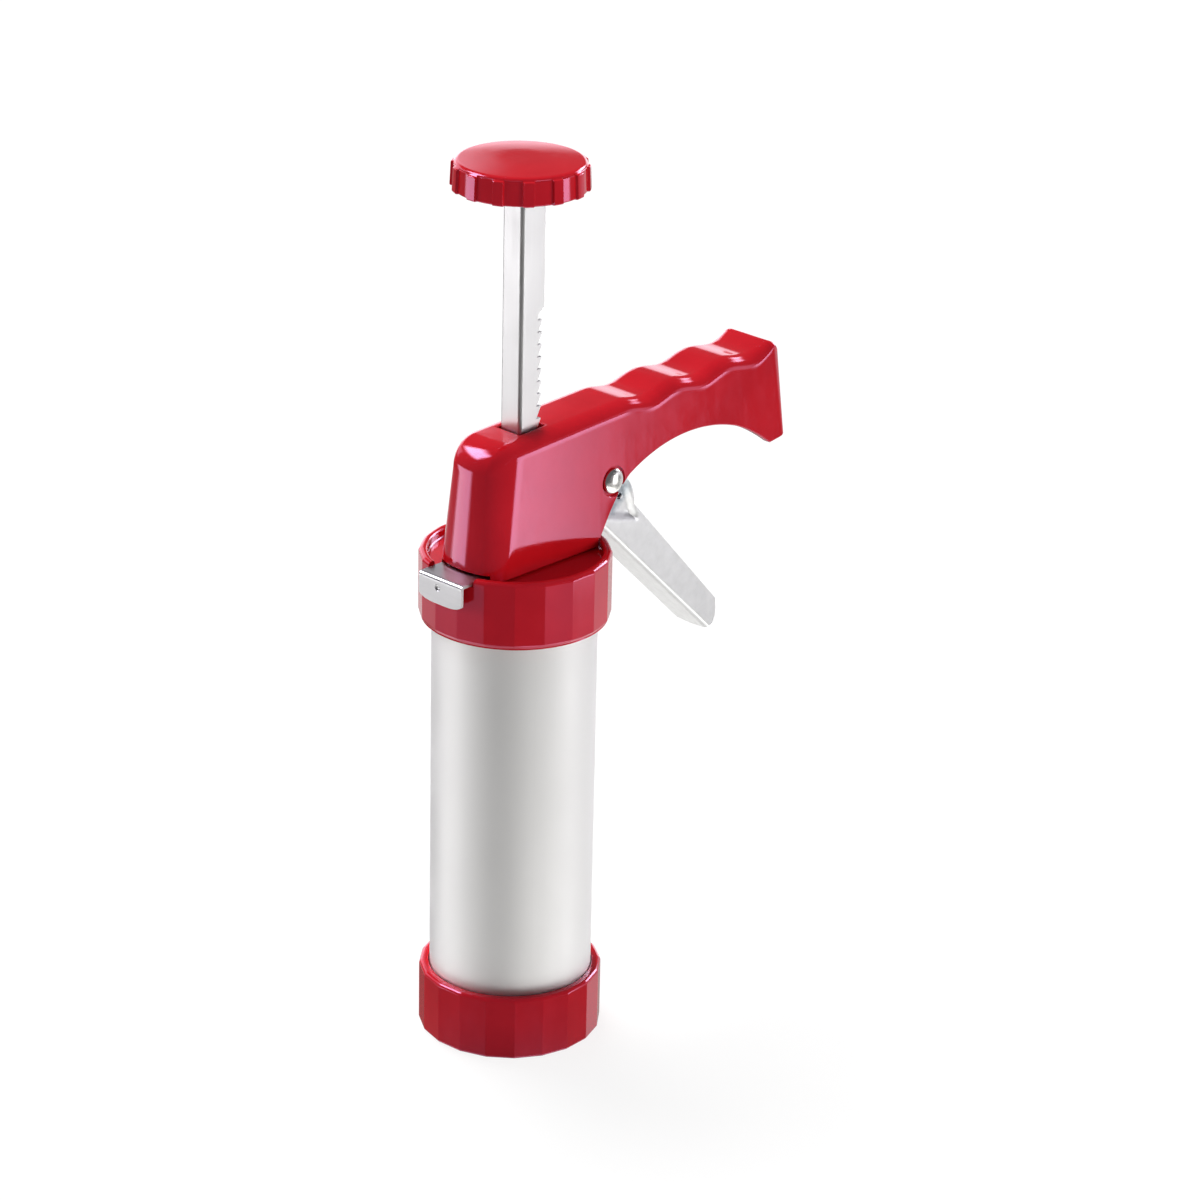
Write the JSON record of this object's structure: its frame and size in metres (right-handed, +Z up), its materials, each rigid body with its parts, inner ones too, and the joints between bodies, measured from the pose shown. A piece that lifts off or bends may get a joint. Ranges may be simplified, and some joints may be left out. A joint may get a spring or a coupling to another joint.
{
  "type": "cookie press",
  "caption": "Hand press with a tube, two screw rings, a head with a grip and squeeze lever, and a toothed rod that drives a piston towards a pierced disc.",
  "frame": {"origin": "centre of the footprint of the bounding box, on the surface the press stands on", "axes": "+Z up along the barrel and the rod, +X towards the grip, Y across the grip"},
  "size_m": [0.1396, 0.0574, 0.279],
  "materials": {
    "red_plastic": "glossy moulded plastic",
    "tube_aluminium": "satin drawn tube",
    "disc_aluminium": "satin pressed sheet",
    "rod_steel": "bright folded steel strip",
    "lever_steel": "satin plated steel sheet",
    "plate_steel": "brushed steel sheet",
    "rivet_steel": "polished",
    "fastener_steel": "zinc plated",
    "spring_steel": "drawn spring wire",
    "piston_plastic": "white moulded plastic"
  },
  "bodies": {
    "barrel": {"barrel": "tube_aluminium"},
    "disc": {"pattern_disc": "disc_aluminium"},
    "bottom_ring": {"bottom_ring": "red_plastic"},
    "head": {"head_cap": "red_plastic", "housing": "red_plastic", "head_screw_1": "fastener_steel", "head_screw_2": "fastener_steel", "head_screw_3": "fastener_steel", "head_screw_4": "fastener_steel", "lever_rivet": "rivet_steel", "release_spring": "spring_steel"},
    "rod": {"rod": "rod_steel", "knob": "red_plastic", "piston": "piston_plastic", "piston_screw": "fastener_steel", "piston_nut": "fastener_steel"},
    "lever": {"lever": "lever_steel", "pawl_pin": "fastener_steel", "lever_spring": "spring_steel", "pawl_spring": "spring_steel"},
    "pawl": {"pawl": "fastener_steel"},
    "release": {"release_plate": "plate_steel"}
  },
  "joints": [
    {"name": "disc_drop", "type": "slide", "parent": "barrel", "child": "disc", "axis": [0, 0, -1], "range_m": [0, 0.009]},
    {"name": "ring_turn", "type": "hinge", "parent": "disc", "child": "bottom_ring", "pos_m": [-0.0383, 0, 0.01], "axis": [0, 0, -1], "range_deg": [0, 1080]},
    {"name": "head_turn", "type": "hinge", "parent": "barrel", "child": "head", "pos_m": [-0.0383, 0, 0.15], "axis": [0, 0, 1], "range_deg": [0, 1080]},
    {"name": "rod_slide", "type": "slide", "parent": "head", "child": "rod", "axis": [0, 0, 1], "range_m": [-0.0725, 0.064]},
    {"name": "lever_squeeze", "type": "hinge", "parent": "head", "child": "lever", "pos_m": [-0.0085, 0, 0.1744], "axis": [0, -1, 0], "range_deg": [0, 25], "stiffness_Nm_per_rad": 0.15, "springref_deg": -34.38, "deforming": ["lever_spring"]},
    {"name": "pawl_swing", "type": "hinge", "parent": "lever", "child": "pawl", "pos_m": [-0.02582, 0, 0.17795], "axis": [0, -1, 0], "range_deg": [-25, 0], "deforming": ["pawl_spring"]},
    {"name": "release_press", "type": "slide", "parent": "head", "child": "release", "axis": [1, 0, 0], "range_m": [0, 0.0012], "stiffness_N_per_m": 400, "springref_m": -0.002, "deforming": ["release_spring"]}
  ],
  "couplings": [
    {"joint": "disc_drop", "follows": "ring_turn", "m_per_rad": 0.00047746},
    {"joint": "pawl_swing", "follows": "lever_squeeze", "ratio": -1}
  ]
}
